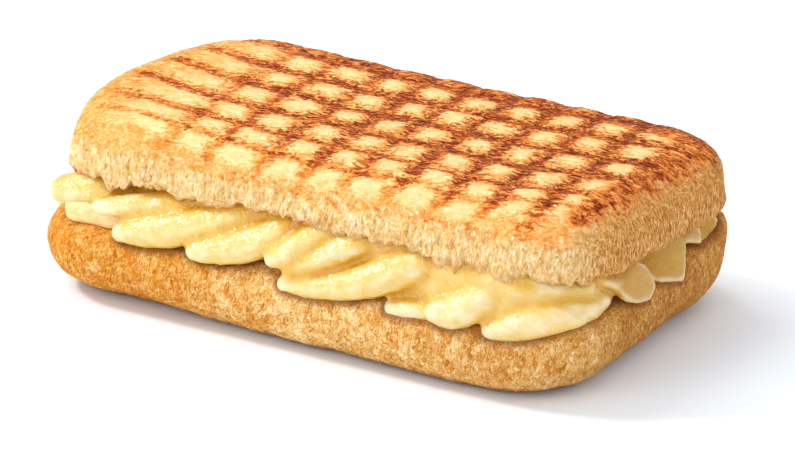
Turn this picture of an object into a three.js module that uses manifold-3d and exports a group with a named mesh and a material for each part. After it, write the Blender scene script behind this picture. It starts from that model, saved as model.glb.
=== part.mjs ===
// A pressed cheese panini: two toasted bread halves, a firm cheese slice and the melted cheese that has run
// out between them. Millimetres, +Z up, +X along the loaf, -Y the open front. The origin is the middle of
// the flat underside. Each piece is one closed solid, FIT clear of its neighbours.
import * as THREE from "three";
import { mergeVertices } from "three/addons/utils/BufferGeometryUtils.js";
import Module from "manifold-3d";

const wasm = await Module();
wasm.setup();

// Driving dimensions.
const LENGTH = 170; // bottom half, end to end
const WIDTH = 104; // bottom half, front to back
const CORNER = 24; // plan radius of the loaf's corners
const SIDE_BULGE = 1.2; // how far a long side bows out at its middle
const BOTTOM_THICK = 21.5;
const FOOT_ROUND = 13; // the bottom half's underside curves up over this height
const CUT_ROUND = 7; // rounding of the bottom half at its cut face
const TOP_THICK = 18.5; // top half, at its rim
const TOP_DOME = 2.4; // rise of the toasted face above its rim
const TOP_ROUND = 12.5; // rounding of the toasted face's rim
const TORN_ROUND = 2.5; // rounding at the top half's torn lower edge
const TORN_DEPTH = 0.7; // how far that edge's torn points hang down
const ARCH = 2.4; // the filling holds the middle of the front edge up by this much
const TOP_INSET = { end: 0.6, side: 4.5 }; // how far the top half stands in from the bottom half's plan
const TOP_SHIFT = { x: 1.4, y: 1.2 };
const GAP_BACK = 5.8; // between the cut faces, at the back
const GAP_FRONT = 10.8; // and at the front, where the filling shows most
const GRILL = { across: 12, along: 7, depth: 0.55 }; // spaces between ridge marks each way, and their depth
const CELLS_PER_MARK = 2; // faces from one mark to the next
const LOBE_STEPS = 6; // rings along a lobe of melted cheese
const ROOT_FULLNESS = 0.9; // size of a lobe at its root, for 1 at its tip
const SLICE = { length: 126, width: 78, thick: 4.8, corner: 5, x: -8, y: -5.2 };
const SLICE_TURN = THREE.MathUtils.degToRad(3);
const MELT_INSET = { end: 5.5, side: 5.5 }; // of the melted layer's own edge, before any of it runs out
const FIT = 0.35; // clearance between neighbours

const TOP_WIDTH = WIDTH - 2 * TOP_INSET.side;
const TILT = Math.atan((GAP_FRONT - GAP_BACK) / TOP_WIDTH); // the top half is open at the front
const TOP_FLOOR = BOTTOM_THICK + (GAP_FRONT + GAP_BACK) / 2; // height of its cut face on its own middle line

const toasted = new THREE.MeshStandardMaterial({ name: "toasted_bread", color: 0xd79a56, roughness: 0.85 });
const grilled = new THREE.MeshStandardMaterial({ name: "grilled_bread", color: 0xdf9e60, roughness: 0.8 });
const melted = new THREE.MeshStandardMaterial({ name: "melted_cheese", color: 0xf8dc84, roughness: 0.35 });
const firm = new THREE.MeshStandardMaterial({ name: "firm_cheese", color: 0xf6d79a, roughness: 0.6 });

// A point (u, v) of the square -1..1 carried to a rectangle of half sizes a, b with round corners.
function roundedPlan(u, v, a, b, radius) {
  const r = Math.max(radius, 0.5);
  const x = u * a;
  const y = v * b;
  const nearX = THREE.MathUtils.clamp(x, r - a, a - r);
  const nearY = THREE.MathUtils.clamp(y, r - b, b - r);
  const dx = x - nearX;
  const dy = y - nearY;
  const flat = Math.hypot(dx, dy);
  const keep = flat > 0 ? Math.max(Math.abs(dx), Math.abs(dy)) / flat : 1;
  return new THREE.Vector2(nearX + dx * keep, nearY + dy * keep);
}

// A side wall from foot to shoulder as (inset, height): a round foot, a straight stretch, a round shoulder.
function sideProfile(thick, foot, shoulder) {
  const path = new THREE.Path();
  path.absarc(foot, foot, foot, -Math.PI / 2, -Math.PI, true);
  path.lineTo(0, thick - shoulder);
  path.absarc(shoulder, thick - shoulder, shoulder, Math.PI, Math.PI / 2, true);
  return path;
}

// A slab with a round plan and a shaped side: a subdivided box, each vertex moved to its place. `relief`
// gives the extra height of the box's point (u, v, w).
function slab({ length, width, corner, profile, cells, bulge = 0, grow = 0, relief = () => 0 }) {
  const geometry = new THREE.BoxGeometry(2, 2, 2, ...cells);
  const position = geometry.getAttribute("position");
  const middle = profile.getPointAt(0.5).y;
  for (let i = 0; i < position.count; i++) {
    const u = position.getX(i);
    const v = position.getY(i);
    const w = position.getZ(i);
    const side = profile.getPointAt((w + 1) / 2);
    const a = length / 2 - side.x + grow + (bulge * (1 - v * v)) / 2;
    const b = width / 2 - side.x + grow + bulge * (1 - u * u);
    const plan = roundedPlan(u, v, a, b, corner - side.x + grow);
    position.setXYZ(i, plan.x, plan.y, side.y + Math.sign(side.y - middle) * grow + relief(u, v, w));
  }
  return geometry;
}

// The bottom half, or the same grown by a clearance for cutting its neighbours.
function bottomHalf(grow = 0) {
  return slab({
    length: LENGTH - SIDE_BULGE,
    width: WIDTH - 2 * SIDE_BULGE,
    corner: CORNER,
    profile: sideProfile(BOTTOM_THICK, FOOT_ROUND, CUT_ROUND),
    cells: [18, 12, 8],
    bulge: SIDE_BULGE,
    grow,
  });
}

// The toasted face: a low dome, pressed in along both sets of ridge marks.
function toastedFace(u, v) {
  const inside = (1 - u ** 4) * (1 - v ** 4);
  const onMark = (t, count) => (1 + Math.cos(Math.PI * count * (t + 1))) / 2;
  const mark = Math.max(onMark(u, GRILL.across), onMark(v, GRILL.along));
  return TOP_DOME * inside - GRILL.depth * mark * Math.sqrt(inside);
}

// The torn face below: arched over the filling at the front, with ragged points round its rim.
function tornFace(u, v) {
  const front = (1 - v) / 2;
  const rim = Math.max(Math.abs(u), Math.abs(v)) ** 8;
  const ragged = Math.sin(23 * u + 9 * v) * Math.cos(17 * v - 31 * u);
  return ARCH * (1 - u * u) * front + TORN_DEPTH * rim * front * ragged;
}

// The top half, tilted up at the front about its own middle line.
function topHalf(grow = 0) {
  return slab({
    length: LENGTH - 2 * TOP_INSET.end,
    width: TOP_WIDTH - 2 * SIDE_BULGE,
    corner: CORNER,
    profile: sideProfile(TOP_THICK, TORN_ROUND, TOP_ROUND),
    cells: [CELLS_PER_MARK * GRILL.across, CELLS_PER_MARK * GRILL.along, 8],
    bulge: SIDE_BULGE,
    relief: (u, v, w) => (w > 0 ? w ** 3 * toastedFace(u, v) : w * w * tornFace(u, v)),
    grow,
  })
    .rotateX(-TILT)
    .translate(TOP_SHIFT.x, TOP_SHIFT.y, TOP_FLOOR);
}

// The firm slice lies on the bottom half, turned a little, so that its front left corner stands out.
function firmSlice(grow = 0) {
  return slab({ ...SLICE, profile: sideProfile(SLICE.thick, 1.2, 1.6), cells: [8, 6, 4], grow })
    .rotateZ(SLICE_TURN)
    .translate(SLICE.x, SLICE.y, BOTTOM_THICK + FIT);
}

// The melted layer fills the wedge between the halves. It is made too high, and the top half cuts it down.
function meltedLayer() {
  return slab({
    length: LENGTH - 2 * MELT_INSET.end,
    width: WIDTH - 2 * MELT_INSET.side,
    corner: CORNER - MELT_INSET.end,
    profile: sideProfile(GAP_FRONT + ARCH, 3, 3),
    cells: [16, 12, 4],
  }).translate(0, 0, BOTTOM_THICK);
}

// Melted cheese that has run out: a capsule bent along the curve from its root by its knee to its tip, `wide`
// along the edge that it runs over and `deep` along `out`, fuller towards the tip.
function lobe({ root, knee, tip, wide, deep, out }) {
  const curve = new THREE.QuadraticBezierCurve3(...[root, knee, tip].map((p) => new THREE.Vector3(...p)));
  const straight = curve.getLength();
  const geometry = new THREE.CapsuleGeometry(wide / 2, straight, 3, 12, LOBE_STEPS);
  const position = geometry.getAttribute("position");
  for (let i = 0; i < position.count; i++) {
    const along = position.getY(i) + straight / 2;
    const t = THREE.MathUtils.clamp(along / straight, 0, 1);
    const ahead = curve.getTangentAt(t);
    const aside = new THREE.Vector3().crossVectors(ahead, new THREE.Vector3(...out)).normalize();
    const outward = new THREE.Vector3().crossVectors(aside, ahead);
    const full = THREE.MathUtils.lerp(ROOT_FULLNESS, 1, t);
    const place = curve
      .getPointAt(t)
      .addScaledVector(ahead, along - t * straight)
      .addScaledVector(aside, position.getX(i) * full)
      .addScaledVector(outward, (position.getZ(i) * full * deep) / wide);
    position.setXYZ(i, place.x, place.y, place.z);
  }
  return geometry;
}

// The lobes: one blob at the left end, a row along the front that each hang down to the left, one long
// tongue round the right corner, and three flaps over the right end.
const FRONT = [0, -1, 0.25];
const RIGHT = [1, 0, 0.35];
const LOBES = [
  { root: [-44, -34, 31], knee: [-62, -41, 33], tip: [-76, -42, 28.5], wide: 9.5, deep: 12, out: FRONT },
  { root: [-22, -39, 34], knee: [-42, -44, 31], tip: [-58, -45, 27.5], wide: 7.5, deep: 10, out: FRONT },
  { root: [-10, -41, 35], knee: [-27, -46, 28], tip: [-49, -46.5, 25.5], wide: 11, deep: 11, out: FRONT },
  { root: [6, -41, 36], knee: [-5, -46, 28], tip: [-26, -47, 23.5], wide: 9.5, deep: 10, out: FRONT },
  { root: [18, -41, 37], knee: [9, -46, 32], tip: [-1, -47, 27], wide: 11, deep: 11, out: FRONT },
  { root: [44, -41, 36], knee: [32, -47, 24.5], tip: [3, -47.5, 22], wide: 11, deep: 10, out: FRONT },
  { root: [50, -44, 23], knee: [43, -47, 21], tip: [35, -48, 20], wide: 6.5, deep: 8, out: FRONT },
  { root: [66, -41, 37], knee: [59, -46, 28], tip: [48, -47, 22], wide: 13, deep: 11, out: FRONT },
  { root: [82, -26, 27], knee: [82, -47, 26], tip: [62, -47.5, 20.5], wide: 9, deep: 9, out: FRONT },
  { root: [70, -28, 27], knee: [80, -16, 26], tip: [81, -5, 22.5], wide: 11, deep: 8, out: RIGHT },
  { root: [70, -6, 28], knee: [79, 4, 27], tip: [81, 14, 21.5], wide: 12, deep: 8, out: RIGHT },
  { root: [70, 14, 28], knee: [79, 22, 27], tip: [80.5, 31, 25], wide: 9, deep: 8, out: RIGHT },
];

// Between three.js geometry and manifold-3d solids.
function toSolid(geometry) {
  const bare = geometry.clone();
  bare.deleteAttribute("normal");
  bare.deleteAttribute("uv");
  const merged = mergeVertices(bare, 1e-3);
  return new wasm.Manifold(
    new wasm.Mesh({
      numProp: 3,
      vertProperties: merged.getAttribute("position").array,
      triVerts: new Uint32Array(merged.index.array),
    }),
  );
}

function toGeometry(solid) {
  const mesh = solid.getMesh();
  const geometry = new THREE.BufferGeometry();
  geometry.setAttribute("position", new THREE.BufferAttribute(mesh.vertProperties, 3));
  geometry.setIndex(new THREE.BufferAttribute(mesh.triVerts, 1));
  geometry.computeVertexNormals();
  return geometry;
}

// The melted layer and its lobes in one, cut clear of the pieces that it touches. What the cuts leave loose
// is dropped.
function meltedCheese() {
  const whole = LOBES.reduce((sum, spot) => sum.add(toSolid(lobe(spot))), toSolid(meltedLayer()));
  const neighbours = [bottomHalf(FIT), topHalf(FIT), firmSlice(FIT)];
  const cut = neighbours.reduce((rest, other) => rest.subtract(toSolid(other)), whole);
  return toGeometry(cut.decompose().reduce((a, b) => (a.volume() > b.volume() ? a : b)));
}

function piece(name, geometry, material) {
  const mesh = new THREE.Mesh(geometry, material);
  mesh.name = name;
  return mesh;
}

const sandwich = new THREE.Group();
sandwich.name = "cheese_panini";
sandwich.add(
  piece("bread_bottom", bottomHalf(), toasted),
  piece("cheese_slice", firmSlice(), firm),
  piece("cheese_melted", meltedCheese(), melted),
  piece("bread_top", topHalf(), grilled),
);

export default sandwich;
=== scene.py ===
# %% [markdown]
# # A pressed grilled cheese sandwich
# A panini roll cut through, filled with cheese and toasted between the ribbed plates of a contact grill.
# It has two bread halves, the melted cheese that has run out between them, and the end of one slice that
# is still firm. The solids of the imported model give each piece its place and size. This lesson replaces
# them with sculpted meshes: each starts from bmesh operators, is made one even skin by a voxel remesh, as
# clay is wedged before it is carved, and is then carved vertex by vertex.

# %% Load the frame
import math

import bmesh
import bpy
import numpy as np
from mathutils import Matrix, Vector, kdtree, noise


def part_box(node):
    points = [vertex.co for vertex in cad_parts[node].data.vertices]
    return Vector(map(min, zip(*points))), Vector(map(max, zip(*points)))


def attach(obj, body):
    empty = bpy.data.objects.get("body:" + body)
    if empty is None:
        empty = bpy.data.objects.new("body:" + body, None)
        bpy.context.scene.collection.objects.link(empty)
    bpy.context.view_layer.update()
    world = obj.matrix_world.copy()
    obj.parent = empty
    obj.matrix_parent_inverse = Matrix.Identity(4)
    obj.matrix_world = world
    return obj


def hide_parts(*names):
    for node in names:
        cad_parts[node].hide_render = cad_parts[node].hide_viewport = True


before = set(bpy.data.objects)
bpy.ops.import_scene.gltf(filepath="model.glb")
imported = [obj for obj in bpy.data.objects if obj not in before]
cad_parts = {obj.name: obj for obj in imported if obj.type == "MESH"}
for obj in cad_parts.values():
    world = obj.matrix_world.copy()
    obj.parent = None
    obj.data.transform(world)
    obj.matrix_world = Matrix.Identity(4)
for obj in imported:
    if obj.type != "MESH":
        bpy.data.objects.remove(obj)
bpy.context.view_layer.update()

MM = 0.001
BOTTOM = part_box("bread_bottom")
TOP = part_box("bread_top")
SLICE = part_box("cheese_slice")


# %% [markdown]
# ## Camera
# A long lens stands about a metre and a third away, round to the right and 22 degrees above the table. From
# that far the perspective is nearly flat, as in a menu picture. The camera is aimed with a track quaternion,
# so it never rolls.

# %% Camera
CAMERA_AZIMUTH = math.radians(31.43)  # from straight in front, towards the right
CAMERA_ELEVATION = math.radians(22.23)
CAMERA_DISTANCE = 1347 * MM
FOCAL_LENGTH = 227.8  # mm, on a sensor 36 mm wide
AIM = Vector((12.0, -13.2, 22.4)) * MM

back = Vector((
    math.sin(CAMERA_AZIMUTH) * math.cos(CAMERA_ELEVATION),
    -math.cos(CAMERA_AZIMUTH) * math.cos(CAMERA_ELEVATION),
    math.sin(CAMERA_ELEVATION),
))
lens = bpy.data.cameras.new("menu_camera")
lens.sensor_width = 36
lens.lens = FOCAL_LENGTH
lens.clip_start = 0.05
camera = bpy.data.objects.new("menu_camera", lens)
camera.location = AIM + back * CAMERA_DISTANCE
camera.rotation_euler = (-back).to_track_quat("-Z", "Y").to_euler()
bpy.context.scene.collection.objects.link(camera)
bpy.context.scene.camera = camera
print("camera at, mm:", [round(c / MM, 1) for c in camera.location])


# %% [markdown]
# ## Colours and nodes
# Colours are picked as sRGB hex values. Cycles works in linear light, so one function converts them. One
# more function adds a shader node, sets it and links it, so a material reads as a list of steps.

# %% Colour and node helpers
def colour(hex_value):
    """A linear RGBA colour from an sRGB hex value."""
    channels = [(hex_value >> shift & 255) / 255 for shift in (16, 8, 0)]
    return [c / 12.92 if c <= 0.04045 else ((c + 0.055) / 1.055) ** 2.4 for c in channels] + [1]


def node(tree, kind, inputs, out=0, stops=(), **settings):
    """Adds one shader node with its inputs (sockets or values), settings and ramp stops; gives one output."""
    made = tree.nodes.new("ShaderNode" + kind)
    for name, value in settings.items():
        setattr(made, name, value)
    for key, value in inputs.items():
        if isinstance(value, bpy.types.NodeSocket):
            tree.links.new(value, made.inputs[key])
        else:
            made.inputs[key].default_value = value
    for position, _ in stops[2:]:
        made.color_ramp.elements.new(position)
    for element, (position, hex_value) in zip(made.color_ramp.elements if stops else (), stops):
        element.position = position
        element.color = colour(hex_value)
    return made.outputs[out]


def new_material(name, roughness, specular):
    """A material with its Principled shader, ready for a colour and a bump, and its object coordinates."""
    material = bpy.data.materials.new(name)
    material.use_nodes = True
    tree = material.node_tree
    shader = tree.nodes["Principled BSDF"]
    shader.inputs["Roughness"].default_value = roughness
    shader.inputs["Specular IOR Level"].default_value = specular
    return material, tree, shader, node(tree, "TexCoord", {}, "Object")


def tufts(tree, place, size_mm, turn=(0, 0, 0), spread=0.2, detail=4.0, curl=0.8):
    """Noise drawn out into tufts of `size_mm` after a turn, from 0 to 1; a smaller spread is starker."""
    turned = node(tree, "Mapping", {"Vector": place, "Rotation": turn}, vector_type="TEXTURE")
    cells = node(tree, "Mapping", {"Vector": turned, "Scale": [1 / (s * MM) for s in size_mm]})
    value = node(tree, "TexNoise", {
        "Vector": cells, "Scale": 1.0, "Detail": detail, "Roughness": 0.7, "Distortion": curl,
    })
    return node(tree, "MapRange", {"Value": value, "From Min": 0.5 - spread, "From Max": 0.5 + spread})


# %% [markdown]
# ## Table and light
# The sandwich lies on a plain white surface that runs out of view. One large soft light stands high on the
# left, so that lobes of cheese catch it on their upper left and the shadow falls to the right. Beside it, a
# little to the front, is a small window, which the film of fat on the cheese mirrors as small highlights. A
# broad fill keeps the front face open, a weaker one keeps the right end from going dark, and a white world
# fills the shadows.

# %% White table
TABLE_SIZE = 6.0
table_mesh = bpy.data.meshes.new("table")
bm = bmesh.new()
bmesh.ops.create_grid(bm, x_segments=1, y_segments=1, size=TABLE_SIZE / 2)
bm.to_mesh(table_mesh)
bm.free()
table = bpy.data.objects.new("table", table_mesh)
bpy.context.scene.collection.objects.link(table)
white_card, _, shader, _ = new_material("white_card", 0.9, 0.1)  # coated card, matte and a touch cool
shader.inputs["Base Color"].default_value = colour(0xEDF3FB)
table_mesh.materials.append(white_card)
print("white table, m:", TABLE_SIZE)

# %% Lights
WHITE = 0xFFFFFF
WARM_WHITE = 0xFFFBF4


def area_light(name, direction, distance, size, power, hex_value=WHITE):
    """A square soft light at a distance along a direction from the sandwich, turned to it."""
    data = bpy.data.lights.new(name, "AREA")
    data.shape = "SQUARE"
    data.size = size
    data.energy = power
    data.color = colour(hex_value)[:3]
    light = bpy.data.objects.new(name, data)
    towards = Vector(direction).normalized()
    light.location = AIM + towards * distance
    light.rotation_euler = (-towards).to_track_quat("-Z", "Y").to_euler()
    bpy.context.scene.collection.objects.link(light)
    print(name, "at, mm:", [round(c / MM) for c in light.location])


area_light("key_left", (-0.8, 0.2, 1.25), 1.3, 0.7, 5.7, WARM_WHITE)
area_light("window_left", (-0.95, -0.26, 1.0), 1.3, 0.2, 8.2, WARM_WHITE)
area_light("fill_front", (-0.5, -1.0, 0.55), 1.6, 0.8, 5.5)
area_light("fill_right", (1.0, -0.5, 0.2), 1.6, 0.8, 3.8)

world = bpy.data.worlds.new("white_room")
world.use_nodes = True
world.node_tree.nodes["Background"].inputs["Color"].default_value = colour(WHITE)
world.node_tree.nodes["Background"].inputs["Strength"].default_value = 0.92
bpy.context.scene.world = world
bpy.context.scene.view_settings.view_transform = "Standard"


# %% [markdown]
# ## Clay helpers
# Every piece of food here goes through the same three steps. It is blocked out with operators, a Remesh
# modifier in voxel mode gives it an even skin of small faces, and code moves the vertices. A Decimate
# modifier last takes faces away where the skin is flat, so that the detail stays where it shows.

# %% Clay helpers
def new_piece(name, bm):
    """The piece that a bmesh holds, linked to the scene, with its origin at the frame's."""
    mesh = bpy.data.meshes.new(name)
    bmesh.ops.recalc_face_normals(bm, faces=bm.faces)
    bm.to_mesh(mesh)
    bm.free()
    piece = bpy.data.objects.new(name, mesh)
    bpy.context.scene.collection.objects.link(piece)
    return piece


def apply_modifier(piece, kind, **settings):
    """Adds one modifier, sets it and makes its result the piece's mesh."""
    modifier = piece.modifiers.new(kind.lower(), kind)
    for name, value in settings.items():
        setattr(modifier, name, value)
    evaluated = piece.evaluated_get(bpy.context.evaluated_depsgraph_get())
    result = bpy.data.meshes.new_from_object(evaluated)
    piece.modifiers.clear()
    old = piece.data
    piece.data = result
    result.name = old.name
    bpy.data.meshes.remove(old)


def points_and_normals(piece):
    """The vertices' places in mm and their normals, as two arrays."""
    mesh = piece.data
    points = np.empty(len(mesh.vertices) * 3)
    mesh.vertices.foreach_get("co", points)
    normals = np.empty(len(mesh.vertices) * 3)
    mesh.vertex_normals.foreach_get("vector", normals)
    return points.reshape(-1, 3) / MM, normals.reshape(-1, 3)


def move_to(piece, points):
    """Puts the vertices at these places in mm."""
    piece.data.vertices.foreach_set("co", (points * MM).ravel())
    piece.data.update()


def ripple(points, size, seed=0.0):
    """Smooth noise from about -1 to 1 at each point, with lumps `size` mm long, or one size for each axis."""
    cells = points / np.asarray(size, float) + seed
    return np.array([noise.noise(cell) for cell in cells])


def grab(points, centre, reach, push):
    """Pulls the clay round `centre` by `push`, fading over `reach`, as a soft brush does; all in mm."""
    away = (points - np.array(centre, float)) / np.array(reach, float)
    weight = np.exp(-np.sum(away**2, axis=1))
    return points + weight[:, None] * np.array(push, float)


def rise(values, low, high):
    """0 below low, 1 above high and a smooth step between."""
    t = np.clip((values - low) / (high - low), 0, 1)
    return t * t * (3 - 2 * t)


def paint(piece, name, values):
    """Stores one number for each vertex, for the materials to read."""
    attribute = piece.data.attributes.new(name, "FLOAT", "POINT")
    attribute.data.foreach_set("value", np.asarray(values, np.float32))


def finish_piece(piece, material, nodes):
    """Smooth shading, the material, and the piece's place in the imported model."""
    piece.data.polygons.foreach_set("use_smooth", [True] * len(piece.data.polygons))
    piece.data.materials.clear()
    piece.data.materials.append(material)
    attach(piece, "root")
    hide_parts(*nodes)
    triangles = sum(len(p.vertices) - 2 for p in piece.data.polygons)
    print(piece.name, "has", triangles, "triangles")


# %% [markdown]
# ## Blocking out bread
# Half a flat roll is a slab with round corners, a foot that curls up from the table or the grill, and a
# tighter edge at the cut. A cube has all of it after three bevels: its uprights, its top rim and its
# bottom rim, each as wide as the real radius. The filling starts from the same block with sharp rims.

# %% Rounded blocks
def round_edges(bm, edges, radius, segments):
    """Rounds the edges off to `radius` mm."""
    bmesh.ops.bevel(
        bm, geom=edges, offset=radius * MM, offset_type="OFFSET", segments=segments,
        profile=0.5, affect="EDGES", material=-1,
    )


def rounded_block(size, corner, segments):
    """A bmesh with a block of `size` mm standing on z 0, its uprights rounded to `corner`."""
    bm = bmesh.new()
    bmesh.ops.create_cube(bm, size=1)
    bmesh.ops.translate(bm, vec=(0, 0, 0.5), verts=bm.verts)
    bmesh.ops.scale(bm, vec=Vector(size) * MM, verts=bm.verts)
    uprights = [e for e in bm.edges if abs(e.verts[0].co.z - e.verts[1].co.z) > 0.5 * size[2] * MM]
    round_edges(bm, uprights, corner, segments)
    return bm


def bread_block(name, size, corner, under, over, voxel):
    """A rounded block with its lower rim rounded to `under` and its upper rim to `over`, evenly remeshed."""
    bm = rounded_block(size, corner, 12)
    for level, radius in ((size[2], over), (0, under)):
        rim = [e for e in bm.edges if all(abs(v.co.z - level * MM) < 1e-6 for v in e.verts)]
        round_edges(bm, rim, radius, 8)
    piece = new_piece(name, bm)
    apply_modifier(piece, "REMESH", mode="VOXEL", voxel_size=voxel * MM)
    return piece


# %% [markdown]
# ## Bottom half
# The lower half of the roll lies on its crust. Pressing has made its sides bulge, its surface is the fine,
# fluffy nap of a soft crust toasted dry, and its cut edge is uneven where the knife tore the crumb. The
# block is carved with lumps of three sizes: the roll's own unevenness, folds of crust and the nap. A few
# soft pulls of the clay then give the ends their real fullness, and at the back right the crust folds up.

# %% Bottom half: shape
BREAD_VOXEL = 0.6
BOTTOM_SIZE = [c / MM for c in BOTTOM[1] - BOTTOM[0]]
bottom = bread_block("toasted_bottom_half", BOTTOM_SIZE, 24, 12.5, 6.5, BREAD_VOXEL)


def nap(points, normals):
    """The fluffy surface of crust, from about -1.6 to 1.6: tufts along the height on upright faces."""
    upright = np.abs(normals[:, 2])
    side = ripple(points, (1.5, 1.5, 3.0), 3.1) + 0.6 * ripple(points, (0.9, 0.9, 1.5), 9.7)
    flat = ripple(points, (1.4, 2.2, 1.5), 5.3) + 0.6 * ripple(points, (0.8, 1.1, 1.0), 1.9)
    return side * (1 - upright) + flat * upright


points, normals = points_and_normals(bottom)
height = points[:, 2] / BOTTOM_SIZE[2]
swell = 0.55 * ripple(points, 26, 2.0) + 0.35 * ripple(points, 9, 7.0)
folds = 0.3 * ripple(points, (3.5, 3.5, 9), 12.0)
cut_edge = rise(height, 0.62, 0.95)
uneven = swell + folds + cut_edge * 0.6 * ripple(points, (7, 7, 12), 4.4) + 0.26 * nap(points, normals)
touching = 1 - rise(height, 0.0, 0.06)  # what lies on the table stays flat
points = points + normals * (uneven * (1 - touching))[:, None]
for centre, reach, push in (
    ((85, 30, 20), (10, 26, 6), (1.2, 0.8, 0.6)),
    ((86, 33, 9), (10, 18, 7), (-0.2, -0.1, 0)),
    ((80, 20, 3), (14, 40, 5), (-0.8, -0.4, 0)),
    ((44, -46, 1), (32, 10, 5), (0, -0.9, 0)),
    ((84, 40, 21), (8, 10, 6), (0.8, 0.4, 6.0)),
    ((82, 12, 6), (10, 16, 8), (-0.7, -0.3, 0)),
    ((-84, -22, 8), (12, 22, 8), (0.6, 0.2, 0)),
    ((-80, -42, 12), (14, 16, 9), (-1.3, -0.8, 0)),
    ((-84, -10, 16), (12, 26, 8), (-0.6, 0, 0.3)),
    ((-52, -48, 1), (26, 10, 5), (0, 0.8, 0.9)),
    ((76, -44, 1), (12, 12, 5), (-0.8, 0.8, 0.4)),
):
    points = grab(points, centre, reach, push)
points[:, 2] = np.maximum(points[:, 2], 0)
move_to(bottom, points)
print("bottom half, mm:", np.ptp(points, axis=0).round(1))
apply_modifier(bottom, "DECIMATE", ratio=0.68)

# %% [markdown]
# The crust's colour has three layers. Broad toasting runs from golden orange at the left end, where the
# grill was hottest, over pale gold in the middle to dull brown at the right end. That dull brown is partly
# the crust's own toasting and partly painted shade, as the right end faces away from the lights. Patches half
# a centimetre wide break it up. The nap itself is painted paler at its tips and darker in its pits, as
# painted light and shade on its relief.

# %% Bottom half: painted numbers
points, normals = points_and_normals(bottom)
left_end = rise(-points[:, 0], -5, 60)
# Partly painted shade: the crust turns a duller brown towards the right end, which faces away from the
# lights.
corner_toast_and_shade = rise(points[:, 0], 60, 84) * rise(points[:, 1], -50, -15)
right_toast_and_shade = np.maximum(corner_toast_and_shade, 0.4 * rise(points[:, 0], 20, 70))
paint(bottom, "left_end", left_end)
paint(bottom, "right_toast_and_shade", right_toast_and_shade)
# Painted shade: the crust is darkened within a few millimetres of the table, where it meets it.
paint(bottom, "contact_shade", rise(-points[:, 2], -4.0, -0.3))
paint(bottom, "nap", 0.5 + 0.36 * nap(points, normals) + 0.25 * ripple(points, (3.5, 3.5, 9), 12.0))
print("golden and dull shares of the crust:", left_end.mean().round(2), right_toast_and_shade.mean().round(2))


# %% Bottom half: finish
def crust_material():
    """Toasted bread crust, baked and then pressed dry: fluffy, matte, gold to brown."""
    material, tree, shader, place = new_material("toasted_crust", 0.85, 0.12)
    curls = tufts(tree, place, (0.75, 0.75, 1.5), (0.0, 0.3, 0.0), 0.16, 4.0, 1.3)
    painted = node(tree, "Attribute", {}, "Fac", attribute_name="nap")
    pile = node(tree, "Mix", {0: 0.42, 2: curls, 3: painted}, data_type="FLOAT")
    patches = tufts(tree, place, (6, 6, 5), (0, 0, 0), 0.18, 3.0)
    # Each ramp runs from the nap's pits to its tips: dark pits and pale tips are painted shade and light on
    # its relief.
    middle = node(tree, "ValToRGB", {"Fac": pile}, stops=(
        (0.12, 0xA85E18), (0.36, 0xD99438), (0.58, 0xF6CA80), (0.85, 0xFFF2CC),
    ))
    golden = node(tree, "ValToRGB", {"Fac": pile}, stops=(
        (0.12, 0x9C4C0C), (0.36, 0xC87216), (0.58, 0xE19A38), (0.85, 0xF3CA7C),
    ))
    # The duller brown of the right end, partly the crust's own toasting and partly painted shade.
    brown = node(tree, "ValToRGB", {"Fac": pile}, stops=(
        (0.12, 0x844A12), (0.36, 0xB06C26), (0.58, 0xCE9446), (0.85, 0xEEC684),
    ))
    left = node(tree, "Attribute", {}, "Fac", attribute_name="left_end")
    right = node(tree, "Attribute", {}, "Fac", attribute_name="right_toast_and_shade")
    contact_shade = node(tree, "Attribute", {}, "Fac", attribute_name="contact_shade")
    cheese_shade = node(tree, "Attribute", {}, "Fac", attribute_name="cheese_shade")
    swing = node(tree, "Math", {0: patches, 1: 1.4, 2: -0.7}, operation="MULTIPLY_ADD")
    warm = node(tree, "Math", {0: left, 1: swing}, operation="ADD", use_clamp=True)
    base = node(tree, "Mix", {0: warm, 6: middle, 7: golden}, 2, data_type="RGBA")
    base = node(tree, "Mix", {0: right, 6: base, 7: brown}, 2, data_type="RGBA")
    # Painted shade along the table contact and next to the cheese, mixed towards dark brown 0x8A4A1A.
    dark = node(tree, "Math", {0: contact_shade, 1: cheese_shade}, operation="MAXIMUM")
    dark = node(tree, "Math", {0: dark, 1: 0.75}, operation="MULTIPLY")
    base = node(tree, "Mix", {0: dark, 6: base, 7: colour(0x8A4A1A)}, 2, data_type="RGBA")
    tree.links.new(base, shader.inputs["Base Color"])
    bump = node(tree, "Bump", {"Height": pile, "Distance": 0.0008, "Strength": 0.65})
    tree.links.new(bump, shader.inputs["Normal"])
    return material


finish_piece(bottom, crust_material(), ["bread_bottom"])


# %% [markdown]
# ## Top half
# The upper half sits on the filling, so it is tilted open towards the front. It is modelled level, in its
# own frame, and tipped into place at the end. The ridges of the grill pressed two sets of lines into it, with
# a quarter turn between two pressings. The same line positions drive the pressed grooves and the brown marks,
# through two painted numbers that count the lines: a whole number is the middle of a line.

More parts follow.
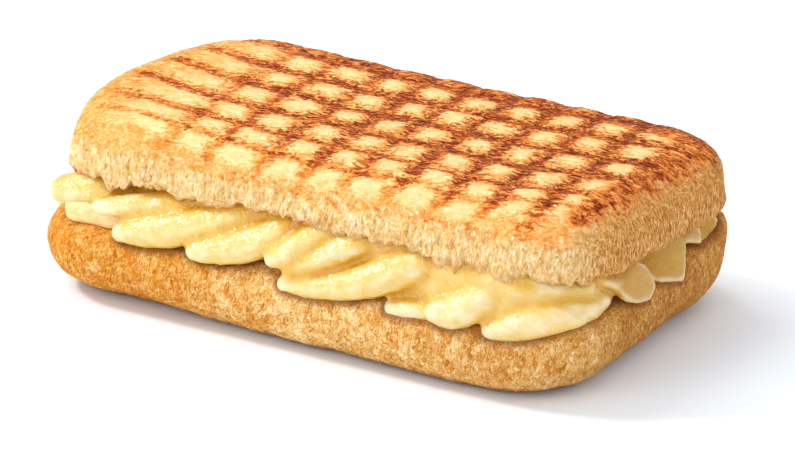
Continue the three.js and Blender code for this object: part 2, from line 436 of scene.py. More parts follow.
# %% Top half: driving sizes
TOP_LENGTH = (TOP[1].x - TOP[0].x) / MM
TOP_WIDTH = 95.0
TOP_THICK = 18.5
TOP_DOME = 2.4
FRONT_ARCH = 2.4  # how far the filling holds the torn edge up in the middle
GROOVE_DEPTH = 0.7
TOP_TILT = math.atan(5.0 / TOP_WIDTH)
TOP_PLACE = Vector(((TOP[0].x + TOP[1].x) / 2, (TOP[0].y + TOP[1].y) / 2, 29.8 * MM))
ACROSS = np.array([-86, -70.5, -44.4, -30.4, -14.1, -0.4, 12.6, 25.9, 40.1, 52.9, 66.1, 79, 94])
ACROSS_STRENGTH = np.array([0, 0.35, 0.62, 0.75, 0.85, 1, 0.88, 1, 0.95, 1, 1, 0.75, 0.7])
ALONG = np.array([-46, -40.5, -31, -16.5, -2, 13.5, 29.5, 45])
ALONG_STRENGTH = np.array([0.3, 0.6, 0.82, 0.95, 1, 1, 1, 1])
LEAN = math.tan(math.radians(7.4))  # the lines across lean: their back ends lie to the left
for name, lines in (("across", ACROSS), ("along", ALONG)):
    print("usual gap between the grill lines", name, "in mm:", np.median(np.diff(lines)).round(1))

# %% Top half: shape
top = bread_block("grilled_top_half", (TOP_LENGTH, TOP_WIDTH, TOP_THICK), 24, 2.5, 12, BREAD_VOXEL)


def line_counts(points):
    """How many lines across and along lie before each point, counted with fractions."""
    level = points * (1, 1, 0)
    x, y = points[:, 0], points[:, 1]
    hook = 5.0 * rise(-y, 38, 48)  # the streaks at the front swing to the left
    across = x + LEAN * (y + 22.5) + hook + 0.9 * ripple(level, 17, 11.0)
    towards_back = rise(y, -14, -4)
    bend_left = 0.09 * np.maximum(-x - 17, 0)
    bend_right = (0.38 - 0.14 * towards_back) * np.maximum(x - 52 + 15 * towards_back, 0)
    along = y - bend_left - bend_right + 0.8 * ripple(level, 17, 31.0)
    return (
        np.interp(across, ACROSS, np.arange(len(ACROSS))),
        np.interp(along, ALONG, np.arange(len(ALONG))),
    )


def line_strengths(points):
    """How strongly each point's nearest lines are pressed, from 0 to 1."""
    across_count, along_count = line_counts(points)
    across = np.interp(across_count, np.arange(len(ACROSS)), ACROSS_STRENGTH)
    along = np.interp(along_count, np.arange(len(ALONG)), ALONG_STRENGTH)
    within = rise(points[:, 0], -84, -72) * (1 - rise(points[:, 0], 75, 80))
    front = 0.35 + 0.35 * rise(points[:, 1], -46, -42.5) + 0.3 * rise(points[:, 1], -41, -36)
    return across * within * front, along * within


def on_line(count):
    """1 in the middle of a line and 0 between lines."""
    return (1 + np.cos(2 * math.pi * count)) / 2


points, normals = points_and_normals(top)
half = np.array([TOP_LENGTH / 2, TOP_WIDTH / 2])
u, v = (points[:, :2] / half).T
height = points[:, 2] / TOP_THICK
inside = np.clip(1 - u**4, 0, 1) * np.clip(1 - v**4, 0, 1)
upper = rise(height, 0.55, 1.0)
lower = 1 - rise(height, 0.0, 0.3)
front = (1 - v) / 2

across_count, along_count = line_counts(points)
across_strength, along_strength = line_strengths(points)
pressed = np.maximum(on_line(across_count) ** 2 * across_strength, on_line(along_count) ** 2 * along_strength)
facing_up = rise(normals[:, 2], 0.6, 0.95)
points[:, 2] += upper * (TOP_DOME * inside) - GROOVE_DEPTH * pressed * facing_up * np.sqrt(inside)


def torn_tufts(points):
    """The strands of torn crumb, from about -2 to 2: clumps 4 mm wide and strands a quarter of that."""
    clumps = ripple(points, (4.0, 4.0, 9.0), 1.3)
    return 0.9 * clumps + ripple(points, (1.15, 1.15, 3.8), 6.1) + 0.6 * ripple(points, (0.7, 0.7, 2.2), 3.3)


def torn_front(points, normals):
    """1 on the front face, where the crumb is torn, and 0 elsewhere."""
    return rise(-points[:, 1], 30, 44) * rise(-normals[:, 2], -0.75, -0.35)


# The roll's own unevenness comes first, then the tufts of torn crumb on the front and the nap elsewhere.
torn = torn_front(points, normals)
move = 0.5 * ripple(points, 24, 8.0) + 0.25 * ripple(points, 8, 3.0) * (0.4 + torn)
move += 0.8 * torn * torn_tufts(points) + 0.2 * nap(points, normals) * (1 - torn)
points += normals * move[:, None]

# The torn edge hangs down in ragged points and is held up in the middle by the filling.
edge = lower * rise(np.maximum(np.abs(u), np.abs(v)), 0.80, 0.96)
ragged = 2.2 * ripple(points * (1, 1, 0), 7, 5.0) + 2.4 * ripple(points * (1, 1, 0), 2.6, 2.0)
points[:, 2] += lower * FRONT_ARCH * np.clip(1 - u**2, 0, 1) * front**2
points[:, 2] += edge * ragged * (0.35 + 0.65 * rise(-v, -0.2, 0.8))
for centre, reach, push in (
    ((-76, -10, 17), (14, 18, 9), (-1.6, 0, 2.2)),
    ((-78, -36, 12), (10, 10, 8), (1.7, 0.6, 0)),
    ((-73, 12, 17), (16, 18, 6), (0, 0, 2.1)),
    ((-58, 34, 17), (16, 14, 6), (0, 0, 0.9)),
    ((-12, -46, 1), (9, 8, 5), (0, 0, 1.6)),
    ((2, -46, 1), (7, 8, 4), (0, 0, -1.0)),
    ((54, -46, 1), (14, 8, 4), (0, 0, -1.8)),
    ((76, 38, 15), (14, 12, 7), (1.6, 0.9, 0.5)),
    ((84, 38, 2), (7, 10, 4), (1.4, 0.4, 0.4)),
):
    points = grab(points, centre, reach, push)
move_to(top, points)
print("top half before it is tipped, mm:", np.ptp(points, axis=0).round(1))
apply_modifier(top, "DECIMATE", ratio=0.68)

# %% [markdown]
# Toasting is not only under the ridges. The back edge stood against the hot frame of the grill and browned
# all over. On the right the brown is a band along the rim, as far as the surface faces up, and the side below
# is pale baked crust, whose tone is partly its own and partly painted shade, as that end faces away from the
# lights. An orange fringe runs along the front, where the crust ends and the torn crumb begins. These are
# painted as numbers too, from where each vertex lies.

# %% Top half: painted numbers
points, normals = points_and_normals(top)
across_count, along_count = line_counts(points)
across_strength, along_strength = line_strengths(points)
height = points[:, 2] / TOP_THICK
facing_up = rise(normals[:, 2] + 0.12 * ripple(points, 5, 40.0), 0.48, 0.82)
face = rise(normals[:, 2], 0.1, 0.6) * rise(height, 0.4, 0.62)
face *= 1 - rise(points[:, 0], 76, 81) * (1 - facing_up)
rim_back = np.maximum(rise(points[:, 1], 26, 29.5) * rise(points[:, 0], -58, -50), rise(points[:, 1], 34, 37))
rim_right = rise(points[:, 0], 72, 77) * rise(points[:, 1], -45, -32) * facing_up
rim_left = rise(-points[:, 0], 50, 78)
left_fade = 0.78 + 0.22 * rise(points[:, 0], -66, -38)
paint(top, "across_count", across_count)
paint(top, "along_count", along_count)
paint(top, "across_strength", across_strength)
paint(top, "along_strength", along_strength)
paint(top, "face", face)
paint(top, "fringe", np.clip(4 * face * (1 - face), 0, 1))
rim = np.maximum(rim_back * 0.82, np.maximum(rim_right * 0.84, rim_left * 0.32))
paint(top, "rim", rim * rise(height, 0.25, 0.5))
paint(top, "fade", left_fade)
# Partly painted shade: the crust of the right end and the back is darker than the torn crumb, partly its own
# colour and partly shade on the right end, which faces away from the lights.
shaded_right_crust = rise(points[:, 0], 68, 84) * rise(points[:, 1], -48, -28)
paint(top, "crust_sides_and_shade", np.maximum(shaded_right_crust, rise(points[:, 1], 25, 45)))
paint(top, "lie", np.abs(normals[:, 2]))
torn = torn_front(points, normals)
paint(top, "nap", 0.5 + 0.22 * torn_tufts(points) * torn + 0.3 * nap(points, normals) * (1 - torn))
top.data.transform(Matrix.Translation(TOP_PLACE) @ Matrix.Rotation(-TOP_TILT, 4, "X"))
print("share of the top half that is torn crumb:", torn.mean().round(2))

# %% [markdown]
# The marks are dark where a ridge pressed, and their edges are feathered, because only the crumb's tips
# touched the hot metal. So the distance to the nearest line is disturbed by strands of noise before it is
# cut off. A ramp from cream through orange to dark brown is then the toasting itself.

# %% Top half: finish
LINE_PITCH = 13.7  # mm, the usual gap between lines
MARK_HALF = 2.4  # mm, half the width of a strong mark
MARK_FEATHER = 2.4  # mm, over which its edge fades


def line_away(tree, count_name, strength, drift):
    """How far a point lies from the middle of the nearest line of one set, in mm; weak marks are narrower."""
    count = node(tree, "Attribute", {}, "Fac", attribute_name=count_name)
    away = node(tree, "Math", {0: count, 1: 0.5}, operation="PINGPONG")
    away = node(tree, "Math", {0: away, 1: LINE_PITCH, 2: drift}, operation="MULTIPLY_ADD")
    weak = node(tree, "Math", {0: strength, 1: -1.8, 2: 1.8}, operation="MULTIPLY_ADD")
    return node(tree, "Math", {0: away, 1: weak}, operation="ADD")


def mark(tree, away, strength):
    """The toasting at that distance from a line: full in the middle of a mark, fading out over its edge."""
    fade = node(tree, "MapRange", {
        "Value": away, "From Min": MARK_HALF + MARK_FEATHER, "From Max": MARK_HALF - MARK_FEATHER,
    }, interpolation_type="SMOOTHSTEP")
    return node(tree, "Math", {0: fade, 1: strength}, operation="MULTIPLY")


def grilled_material():
    """Bread toasted on a ribbed grill: cream crumb, orange fringes and dark brown ridge marks, all matte."""
    material, tree, shader, place = new_material("grilled_bread", 0.8, 0.12)
    lie = node(tree, "Attribute", {}, "Fac", attribute_name="lie")
    strokes = tufts(tree, place, (2.6, 1.15, 1.2), (0, 0, 0.2), 0.13, curl=1.2)
    strands = tufts(tree, place, (0.6, 0.6, 2.2), (0, 0.18, 0), 0.16)
    fine = node(tree, "Mix", {0: lie, 2: strands, 3: strokes}, data_type="FLOAT")
    painted = node(tree, "Attribute", {}, "Fac", attribute_name="nap")
    pile = node(tree, "Mix", {0: 0.25, 2: fine, 3: painted}, data_type="FLOAT")
    blotch = tufts(tree, place, (8, 8, 8), (0, 0, 0), 0.22, 3.0)
    mottle = tufts(tree, place, (3.5, 2.2, 2.5), (0, 0, 0.3), 0.16, 3.0)

    drift = node(tree, "Math", {0: pile, 1: 3.8, 2: -2.9}, operation="MULTIPLY_ADD")
    drift = node(tree, "Math", {0: blotch, 1: 2.2, 2: drift}, operation="MULTIPLY_ADD")
    across_strength = node(tree, "Attribute", {}, "Fac", attribute_name="across_strength")
    along_strength = node(tree, "Attribute", {}, "Fac", attribute_name="along_strength")
    across_away = line_away(tree, "across_count", across_strength, drift)
    along_away = line_away(tree, "along_count", along_strength, drift)
    across = mark(tree, across_away, across_strength)
    along = mark(tree, along_away, along_strength)
    crossing = node(tree, "Math", {0: across_away, 1: along_away, 2: 5.5}, operation="SMOOTH_MIN")
    crossing_strength = node(tree, "Math", {0: across_strength, 1: along_strength}, operation="MULTIPLY")
    crossing = mark(tree, crossing, crossing_strength)  # rounds the corners of the pale patches
    both = node(tree, "Math", {0: across, 1: along}, operation="MULTIPLY")
    marks = node(tree, "Math", {0: across, 1: along}, operation="ADD")
    marks = node(tree, "Math", {0: marks, 1: both}, operation="SUBTRACT")
    marks = node(tree, "Math", {0: marks, 1: crossing}, operation="MAXIMUM")
    fade = node(tree, "Attribute", {}, "Fac", attribute_name="fade")
    marks = node(tree, "Math", {0: marks, 1: fade}, operation="MULTIPLY")
    rim = node(tree, "Attribute", {}, "Fac", attribute_name="rim")
    uneven = node(tree, "Math", {0: mottle, 1: 1.2, 2: 0.3}, operation="MULTIPLY_ADD")
    rim = node(tree, "Math", {0: rim, 1: uneven}, operation="MULTIPLY")
    marks = node(tree, "Math", {0: marks, 1: rim}, operation="MAXIMUM")
    fringe = node(tree, "Attribute", {}, "Fac", attribute_name="fringe")
    fringe = node(tree, "Math", {0: fringe, 1: mottle}, operation="MULTIPLY")
    fringe = node(tree, "Math", {0: fringe, 1: 0.55}, operation="MULTIPLY")
    marks = node(tree, "Math", {0: marks, 1: fringe}, operation="MAXIMUM")

    # Pits of the pile toast darker and its tips paler: painted shade and painted light on the relief.
    depth = node(tree, "Math", {0: pile, 1: -0.9, 2: 1.22}, operation="MULTIPLY_ADD")
    ground = node(tree, "Math", {0: pile, 1: -0.16, 2: 0.13}, operation="MULTIPLY_ADD")
    toast = node(tree, "Math", {0: marks, 1: depth, 2: ground}, operation="MULTIPLY_ADD", use_clamp=True)
    grilled = node(tree, "ValToRGB", {"Fac": toast}, stops=(
        (0.0, 0xFBDCA4), (0.1, 0xF7C680), (0.28, 0xEE9E48), (0.48, 0xDA7C32), (0.68, 0xB2501E),
        (0.86, 0x8E3814), (1.0, 0x66260E),
    ))
    # Torn crumb from dark gaps to pale tufts: painted shade in its gaps and painted highlights on its tufts.
    crumb = node(tree, "ValToRGB", {"Fac": pile}, stops=(
        (0.12, 0xC48432), (0.36, 0xE8B464), (0.58, 0xF8D698), (0.85, 0xFFF4D8),
    ))
    # Crust of the right end and the back: its own colour, with painted shade on the right end.
    shaded_crust_ramp = node(tree, "ValToRGB", {"Fac": pile}, stops=(
        (0.12, 0x80440E), (0.36, 0xB66E28), (0.58, 0xDA9C50), (0.85, 0xFAD292),
    ))
    end = node(tree, "Attribute", {}, "Fac", attribute_name="crust_sides_and_shade")
    side = node(tree, "Mix", {0: end, 6: crumb, 7: shaded_crust_ramp}, 2, data_type="RGBA")
    face = node(tree, "Attribute", {}, "Fac", attribute_name="face")
    face = node(tree, "Math", {0: mottle, 1: 0.6, 2: face}, operation="MULTIPLY_ADD")
    face = node(tree, "MapRange", {"Value": face, "From Min": 0.35, "From Max": 1.15})
    base = node(tree, "Mix", {0: face, 6: side, 7: grilled}, 2, data_type="RGBA")
    # Painted shade next to the cheese, mixed towards 0xC98A3E.
    cheese_shade = node(tree, "Attribute", {}, "Fac", attribute_name="cheese_shade")
    cheese_shade = node(tree, "Math", {0: cheese_shade, 1: 0.45}, operation="MULTIPLY")
    base = node(tree, "Mix", {0: cheese_shade, 6: base, 7: colour(0xC98A3E)}, 2, data_type="RGBA")
    tree.links.new(base, shader.inputs["Base Color"])
    bump = node(tree, "Bump", {"Height": pile, "Distance": 0.0008, "Strength": 0.65})
    tree.links.new(bump, shader.inputs["Normal"])
    return material


finish_piece(top, grilled_material(), ["bread_top"])


# %% [markdown]
# ## Firm slice
# One slice near the cut hasn't melted. Only its front left corner shows, pale and matte, under the melted
# cheese. A slab with soft rims is enough, with small dents from the knife.

# %% Firm slice
SLICE_SIZE = (136.0, 78.0, 6.6)
SLICE_TURN = math.radians(3)
SLICE_DROP = 0.8  # mm, by which its thick end sinks into the crumb
firm = bread_block("firm_cheese_slice", SLICE_SIZE, 4, 1.4, 1.8, 0.8)
points, normals = points_and_normals(firm)
points += normals * (0.25 * ripple(points, 6, 1.0) + 0.12 * ripple(points, 2.2, 2.0))[:, None]
move_to(firm, points)
slice_place = Vector((
    (SLICE[0].x + SLICE[1].x) / 2,
    (SLICE[0].y + SLICE[1].y) / 2,
    SLICE[0].z - SLICE_DROP * MM,
))
firm.data.transform(Matrix.Translation(slice_place) @ Matrix.Rotation(SLICE_TURN, 4, "Z"))
apply_modifier(firm, "DECIMATE", ratio=0.5)


def firm_cheese_material():
    """Firm cheese, pressed and sliced: pale cream, matte with a faint waxy sheen, lightly translucent."""
    material, tree, shader, place = new_material("firm_cheese", 0.5, 0.35)
    mottle = tufts(tree, place, (4, 4, 3), (0, 0, 0), 0.25, 3.0)
    base = node(tree, "ValToRGB", {"Fac": mottle}, stops=((0.1, 0xE8C078), (0.5, 0xEFCF8E), (0.9, 0xF4DCA8)))
    tree.links.new(base, shader.inputs["Base Color"])
    shader.inputs["Subsurface Weight"].default_value = 0.25
    shader.inputs["Subsurface Radius"].default_value = (1.0, 0.6, 0.25)
    shader.inputs["Subsurface Scale"].default_value = 0.003
    dents = tufts(tree, place, (0.9, 0.9, 0.9), (0, 0, 0), 0.3, 3.0)
    bump = node(tree, "Bump", {"Height": dents, "Distance": 0.0003, "Strength": 0.6})
    tree.links.new(bump, shader.inputs["Normal"])
    return material


finish_piece(firm, firm_cheese_material(), ["cheese_slice"])


# %% [markdown]
# ## Melted cheese
# The melted layer fills the wedge between the halves. Behind the torn edge it bulges as one curtain, and
# from the curtain it runs out in lobes. Each lobe starts high, under the torn crumb it still clings to,
# swings down to the left and ends in a round tip. A lobe is laid like a rope of soft clay: flattened balls
# set close together along a smooth path. A coarse voxel remesh welds lobes and curtain into one skin, and
# smoothing lets neighbours run into each other. At the right end the cheese hangs over the crust in thin
# flaps, each the convex hull of a few balls. They are joined after that, because so much smoothing would
# wear them away, and a fine remesh then welds them on.

# %% Melted cheese: lobes and flaps
# Each point is (x, y, z, radius) in mm. A lobe's path runs from its root to its tip, and a flap's points go
# round its outline.
FRONT_LOBES = [
    [(-44, -36, 31.0, 3.6), (-55, -39.0, 30.4, 4.5), (-63, -41.2, 29.8, 5.1), (-70, -42.2, 29.2, 5.5),
     (-75.2, -42.8, 28.3, 4.8)],
    [(-31, -38.5, 32.0, 3.6), (-40, -42.4, 31.0, 4.2), (-50, -45.3, 29.6, 4.0), (-57, -47, 28.5, 3.3),
     (-61, -47.6, 28.0, 2.4)],
    [(-13, -38, 35.0, 4.6), (-19, -41.2, 32.2, 5.2), (-26, -43.8, 29.4, 5.8), (-34, -45.6, 26.8, 6.0),
     (-41, -46.8, 25.2, 6.0), (-48, -48.2, 23.9, 4.9), (-52.3, -49, 23.0, 3.4)],
    [(0, -38, 36.0, 4.6), (-3.0, -41, 33.0, 5.2), (-7.5, -44, 29.6, 5.8), (-14, -46.6, 26.4, 5.6),
     (-21, -48.2, 24.3, 5.0), (-26, -49.4, 23.1, 3.9), (-29.0, -49.8, 22.8, 2.8)],
    [(10.5, -38.5, 36.5, 4.4), (7.5, -42.2, 33.6, 4.9), (3.5, -45.6, 30.4, 5.0), (-0.5, -48, 27.3, 4.5),
     (-3.8, -49.2, 25.8, 3.2)],
    [(22, -39, 35.5, 4.2), (18, -42.8, 32.4, 4.6), (12, -45.8, 29.2, 4.6), (6, -47.8, 26.2, 4.0),
     (1, -48.8, 24.2, 3.1)],
    [(41, -38.5, 34.0, 5.6), (36.5, -42.4, 30.8, 6.2), (30, -45.4, 27.4, 6.2), (22.5, -47.4, 24.1, 5.6),
     (14.7, -48.6, 21.8, 4.8), (7, -49.6, 20.4, 3.9), (0.6, -50.2, 20.0, 2.9)],
    [(52, -44.5, 22.4, 3.6), (44, -47.4, 20.6, 3.3), (37.5, -48.9, 19.9, 3.0), (32.4, -49.4, 19.8, 2.3)],
    [(62.5, -38.5, 32.5, 5.6), (60, -42, 29.2, 6.4), (56.5, -45.4, 25.7, 6.4), (51.5, -48, 22.6, 5.8),
     (46.4, -49.2, 21.8, 4.1)],
    [(78, -31, 29.0, 4.6), (73.5, -37.5, 28.0, 5.4), (67, -42.0, 26.4, 5.6), (60.5, -45.4, 23.8, 4.4)],
]
CURTAIN = [
    [(-66, -35.5, 29.5, 3.8), (-48, -38.0, 30.2, 4.2), (-30, -39.2, 30.8, 4.6), (0, -39.6, 31.4, 4.8),
     (30, -40.2, 30.2, 5.0), (50, -41.4, 28.4, 5.4), (62, -41.6, 27.6, 5.8), (72, -38.8, 26.8, 5.4),
     (77.5, -30, 26.4, 4.6), (78, -20, 27.0, 4)],
    [(-40, -39.5, 25.0, 3.6), (-28, -41.0, 25.0, 4.2), (0, -41.6, 24.8, 4.4), (30, -42.6, 24.2, 4.6),
     (58, -43.0, 23.8, 5.0), (70, -40.6, 23.6, 5.0), (77.5, -32, 24.0, 4.2), (79, -22, 24.4, 3.4)],
]
CORNER_LOBE = [
    (80.5, -22, 24.0, 2.6), (81.5, -29, 24.0, 3.4), (81, -36, 24.4, 4.0), (78.5, -41.0, 24.4, 4.4),
    (73.5, -44.6, 23.0, 4.6), (67, -46.8, 20.8, 4.3), (61.8, -48, 19.4, 3.0),
]
END_FLAPS = [
    [(80.5, -28, 30.5, 1.3), (80.5, -15, 30.0, 1.3), (82.4, -9.8, 28.2, 1.0), (83.2, -6.6, 26.6, 0.8),
     (84.0, -5.0, 24.0, 0.8), (84.8, -4.6, 21.0, 0.8), (85.0, -6.6, 18.8, 0.8), (84.8, -12.5, 20.0, 0.9),
     (84.2, -17, 22.2, 1.0), (83.2, -22.5, 27.0, 1.3)],
    [(79.0, -6, 27.4, 1.3), (80.0, 11, 27.8, 1.1), (81.4, 18.4, 26.2, 0.8), (83.3, 15.1, 22.0, 0.8),
     (84.3, 13.2, 20.0, 0.7), (85.0, 11.4, 17.7, 0.7), (84.2, 4.5, 19.8, 0.9), (82.6, -2, 22.2, 1.1)],
    [(79.0, 11, 27.4, 1.2), (80.8, 23, 27.2, 0.9), (82.0, 25.2, 25.8, 0.8), (83.0, 24.2, 23.6, 0.7),
     (82.0, 18.4, 25.4, 0.8)],
    [(78.5, 24, 27.0, 1.4), (80.4, 31.4, 28.0, 1.3), (82.0, 34.4, 25.6, 1.1), (82.8, 31.6, 22.2, 1.1),
     (81.4, 27, 22.0, 1.2)],
]


def smooth_path(stations, step):
    """Points `step` mm apart on a Catmull-Rom curve through the stations, radius included."""
    line = np.array(stations, float)
    padded = np.vstack([2 * line[0] - line[1], line, 2 * line[-1] - line[-2]])
    dense = []
    for p0, p1, p2, p3 in zip(padded, padded[1:], padded[2:], padded[3:]):
        count = max(2, int(np.linalg.norm((p2 - p1)[:3]) / step))
        for t in np.arange(count) / count:
            bend = (2 * p0 - 5 * p1 + 4 * p2 - p3) * t**2 + (3 * p1 - p0 - 3 * p2 + p3) * t**3
            dense.append(0.5 * (2 * p1 + (p2 - p0) * t + bend))
    return dense + [line[-1]]


def lay_balls(bm, stations, out=(0, 0, 1), squash=1.0):
    """One ball of cheese at each station, `squash` times as deep along `out` as it is wide."""
    shape = Matrix.Scale(squash, 4, Vector(out))
    for x, y, z, radius in stations:
        place = Matrix.Translation(Vector((x, y, z)) * MM)
        bmesh.ops.create_icosphere(bm, subdivisions=2, radius=radius * MM, matrix=place @ shape)


MELT_COARSE = 0.8  # coarse first, so that smoothing rounds the valleys well
MELT_VOXEL = 0.58
FILLING_SIZE = (158, 84, 14.0)  # the hidden part between the halves, cut to the upper half's face later
FILLING_CORNER = 18
FILLING_PLACE = Vector((0, 2.5, 21.2)) * MM
bm = rounded_block(FILLING_SIZE, FILLING_CORNER, 8)
bmesh.ops.translate(bm, vec=FILLING_PLACE, verts=bm.verts)
for stations in CURTAIN:
    lay_balls(bm, smooth_path(stations, 1.5), (0, 0, 1), 1.4)
for stations in FRONT_LOBES:
    lay_balls(bm, smooth_path(stations, 1.0), (-0.1, -0.6, 0.8), 0.68)  # flat faces slope up and outwards
lay_balls(bm, smooth_path(CORNER_LOBE, 1.0), (0.3, -0.5, 0.8), 0.8)
body = new_piece("melted_body", bm)
apply_modifier(body, "REMESH", mode="VOXEL", voxel_size=MELT_COARSE * MM)
apply_modifier(body, "SMOOTH", factor=0.5, iterations=5)

bm = bmesh.new()
bm.from_mesh(body.data)
bpy.data.objects.remove(body)
for stations in END_FLAPS:
    flap = bmesh.new()
    lay_balls(flap, stations)
    hull = bmesh.ops.convex_hull(flap, input=flap.verts)
    bmesh.ops.delete(flap, geom=hull["geom_interior"], context="VERTS")
    flap_mesh = bpy.data.meshes.new("flap")
    flap.to_mesh(flap_mesh)
    flap.free()
    bm.from_mesh(flap_mesh)
    bpy.data.meshes.remove(flap_mesh)
melt = new_piece("melted_cheese", bm)
apply_modifier(melt, "REMESH", mode="VOXEL", voxel_size=MELT_VOXEL * MM)
apply_modifier(melt, "SMOOTH", factor=0.5, iterations=2)
print("melted cheese before carving:", len(melt.data.vertices), "vertices")

# %% Melted cheese: carving
def above_torn_face(points):
    """How far each point lies above the top half's torn face, in mm."""
    local = points - np.array(TOP_PLACE) / MM
    y = local[:, 1] * math.cos(TOP_TILT) - local[:, 2] * math.sin(TOP_TILT)
    z = local[:, 1] * math.sin(TOP_TILT) + local[:, 2] * math.cos(TOP_TILT)
    front = np.clip((1 - y / (TOP_WIDTH / 2)) / 2, 0, 1)
    arch = FRONT_ARCH * np.clip(1 - (local[:, 0] / (TOP_LENGTH / 2)) ** 2, 0, 1) * front**2
    return z - arch


def relaxed(piece, points, rounds):
    """The points after some rounds of moving each halfway to the middle of its neighbours."""
    ends = np.empty(len(piece.data.edges) * 2, np.int32)
    piece.data.edges.foreach_get("vertices", ends)
    here, there = np.concatenate([ends.reshape(-1, 2), ends.reshape(-1, 2)[:, ::-1]]).T
    neighbours = np.bincount(here, minlength=len(points))
    for _ in range(rounds):
        sums = [np.bincount(here, weights=points[there, axis], minlength=len(points)) for axis in range(3)]
        points = (points + np.array(sums).T / neighbours[:, None]) / 2
    return points


# Valleys between lobes are cut deeper and ridges raised: the difference from a relaxed copy is added.
points, normals = points_and_normals(melt)
outside = rise(np.maximum(np.abs(points[:, 0]) - 60, -points[:, 1] - 36), 0, 4)
relief = np.sum((points - relaxed(melt, points, 30)) * normals, axis=1)
points += normals * (np.clip(0.45 * relief, -1.0, 0.6) * outside)[:, None]
above = above_torn_face(points)
points[:, 2] -= np.maximum(above - 1.5, 0)  # what reached into the bread stops just inside it
lumps = 0.25 * ripple(points, 4.0, 1.0) + 0.08 * ripple(points, 1.6, 2.0)
points += normals * (lumps * outside)[:, None]
move_to(melt, points)
print("melted cheese, mm:", np.ptp(points, axis=0).round(1))
apply_modifier(melt, "DECIMATE", ratio=0.5)

# %% [markdown]
# Ridges and thin rims of melted cheese are painted pale, as painted light, because light comes straight back
# out of them. Its hollows are painted a deeper yellow, as painted shade, because light has gone through more
# cheese to get there. Two painted numbers say so: how hollow the skin is, from its distance to a relaxed
# copy, and where the thin flaps are, which are painted a darker amber as painted shade, with paler rims as
# painted light. The lower sides of lobes, the skin set back under the torn edge and the skin just under the
# torn crumb get the deeper yellow of painted shade too.

# %% Melted cheese: finish
points, normals = points_and_normals(melt)
# Painted light and shade: pale on ridges, deeper yellow in hollows, on lower sides, set back under the torn
# edge and under the torn crumb.
hollow = np.sum((relaxed(melt, points, 40) - points) * normals, axis=1)
ends = np.maximum(rise(points[:, 0], 66, 76), rise(-points[:, 0], 62, 70))
set_back_shade = rise(points[:, 1], -45.0, -41.0) * (1 - ends) * (1 - 0.85 * rise(points[:, 0], 26, 44))
# Painted shade: the flaps at the right end are painted a darker amber that varies along them, with paler rims
# as painted light.
shaded_flaps = rise(points[:, 0], 77, 81) * rise(points[:, 1], -28, -18)
flap_shade_strength = np.interp(points[:, 1], (-30, -6, -3.5, 14, 25, 34), (1.0, 0.7, 1.0, 0.7, 0.65, 0.8))
lit_rims = rise(-hollow, 0.4, 0.8)
lower_side_shade = rise(-normals[:, 2], -0.4, 0.6)
left_lobe = rise(-points[:, 0], 72, 80)
shade_under_crumb = rise(above_torn_face(points), -3.6, -0.8) * rise(ripple(points, 8, 21.0), -0.3, 0.5)
sheet = rise(points[:, 0], 30, 46) * (1 - rise(points[:, 0], 74, 80))
shade_and_tone = 0.5 * (set_back_shade + shade_under_crumb) + 0.4 * lower_side_shade + 0.2 * left_lobe - 0.1 * sheet
paint(melt, "hollow", np.clip(0.44 + hollow / 1.1 + shade_and_tone, 0, 1))
paint(melt, "shaded_flaps", shaded_flaps * flap_shade_strength * (1 - 0.7 * lit_rims))
print("hollowness of the cheese, mm:", np.percentile(hollow, (2, 20, 50, 80, 98)).round(2))


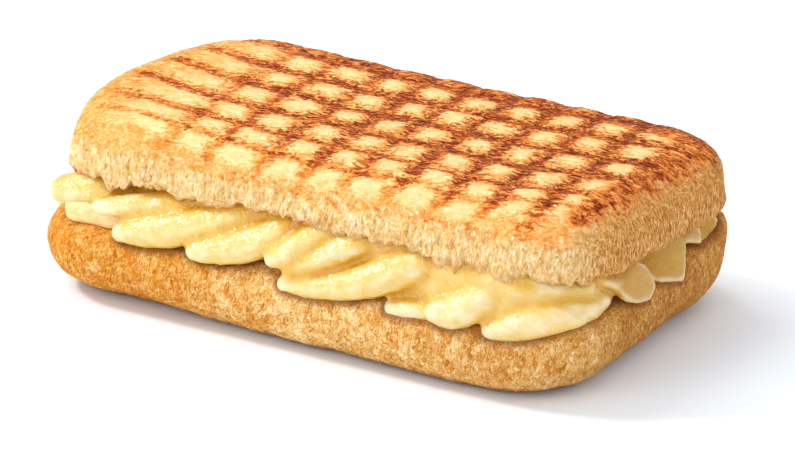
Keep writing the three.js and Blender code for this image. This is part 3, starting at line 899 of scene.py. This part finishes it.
def melted_cheese_material():
    """Mild yellow cheese, melted and just set: glossy with fat, translucent, painted deeper yellow in its
    folds as painted shade.
    """
    material, tree, shader, place = new_material("melted_cheese", 0.36, 0.3)
    swirl = tufts(tree, place, (6, 6, 3), (0, 0.4, 0), 0.25, 3.0)
    hollow = node(tree, "Attribute", {}, "Fac", attribute_name="hollow")
    hollow = node(tree, "Math", {0: swirl, 1: 0.16, 2: hollow}, operation="MULTIPLY_ADD")
    shaded_flaps = node(tree, "Attribute", {}, "Fac", attribute_name="shaded_flaps")
    # Painted light and shade: pale on ridges and rims, deeper yellow in hollows and where shade falls.
    base = node(tree, "ValToRGB", {"Fac": hollow}, stops=(
        (0.1, 0xE3CFA2), (0.38, 0xDBBC6C), (0.68, 0xDBAE40), (1.0, 0xD49A20),
    ))
    # Painted shade on the flaps, mixed towards dark amber 0xB48004.
    base = node(tree, "Mix", {0: shaded_flaps, 6: base, 7: colour(0xB48004)}, 2, data_type="RGBA")
    tree.links.new(base, shader.inputs["Base Color"])
    shader.inputs["Subsurface Weight"].default_value = 0.5
    shader.inputs["Subsurface Radius"].default_value = (0.9, 0.65, 0.2)
    shader.inputs["Subsurface Scale"].default_value = 0.004
    film = node(tree, "Math", {0: shaded_flaps, 1: -0.9, 2: 0.8}, operation="MULTIPLY_ADD", use_clamp=True)
    tree.links.new(film, shader.inputs["Coat Weight"])  # the film of fat, thin on the flaps
    shader.inputs["Coat Roughness"].default_value = 0.11
    lumps = tufts(tree, place, (2.2, 2.2, 1.4), (0, 0.4, 0), 0.3, 2.0)
    wrinkles = node(tree, "Math", {0: lumps, 1: swirl}, operation="MULTIPLY")  # in clusters
    bump = node(tree, "Bump", {"Height": wrinkles, "Distance": 0.0008, "Strength": 0.6})
    tree.links.new(bump, shader.inputs["Normal"])
    tree.links.new(bump, shader.inputs["Coat Normal"])
    return material


finish_piece(melt, melted_cheese_material(), ["cheese_melted"])

# %% [markdown]
# ## Shade of the cheese on the bread
# Where cheese lies on bread, the crumb next to it is darkened in a narrow line, as painted shade. A search
# tree over the cheese's vertices gives every bread vertex its distance to the nearest cheese.

# %% Shade of the cheese on the bread
CHEESE_SHADE_FULL = 0.4  # mm from the cheese, where the painted shade is full
CHEESE_SHADE_REACH = 2.6  # mm from the cheese, where the painted shade ends
cheese_points = points_and_normals(melt)[0]
tree_of_cheese = kdtree.KDTree(len(cheese_points))
for index, point in enumerate(cheese_points):
    tree_of_cheese.insert(point, index)
tree_of_cheese.balance()
for bread in (bottom, top):
    distances = np.array([tree_of_cheese.find(point)[2] for point in points_and_normals(bread)[0]])
    # Painted shade: bread within a few millimetres of the cheese is darkened.
    paint(bread, "cheese_shade", 1 - rise(distances, CHEESE_SHADE_FULL, CHEESE_SHADE_REACH))
    print(bread.name, "share near the cheese:", np.mean(distances < CHEESE_SHADE_REACH).round(3))
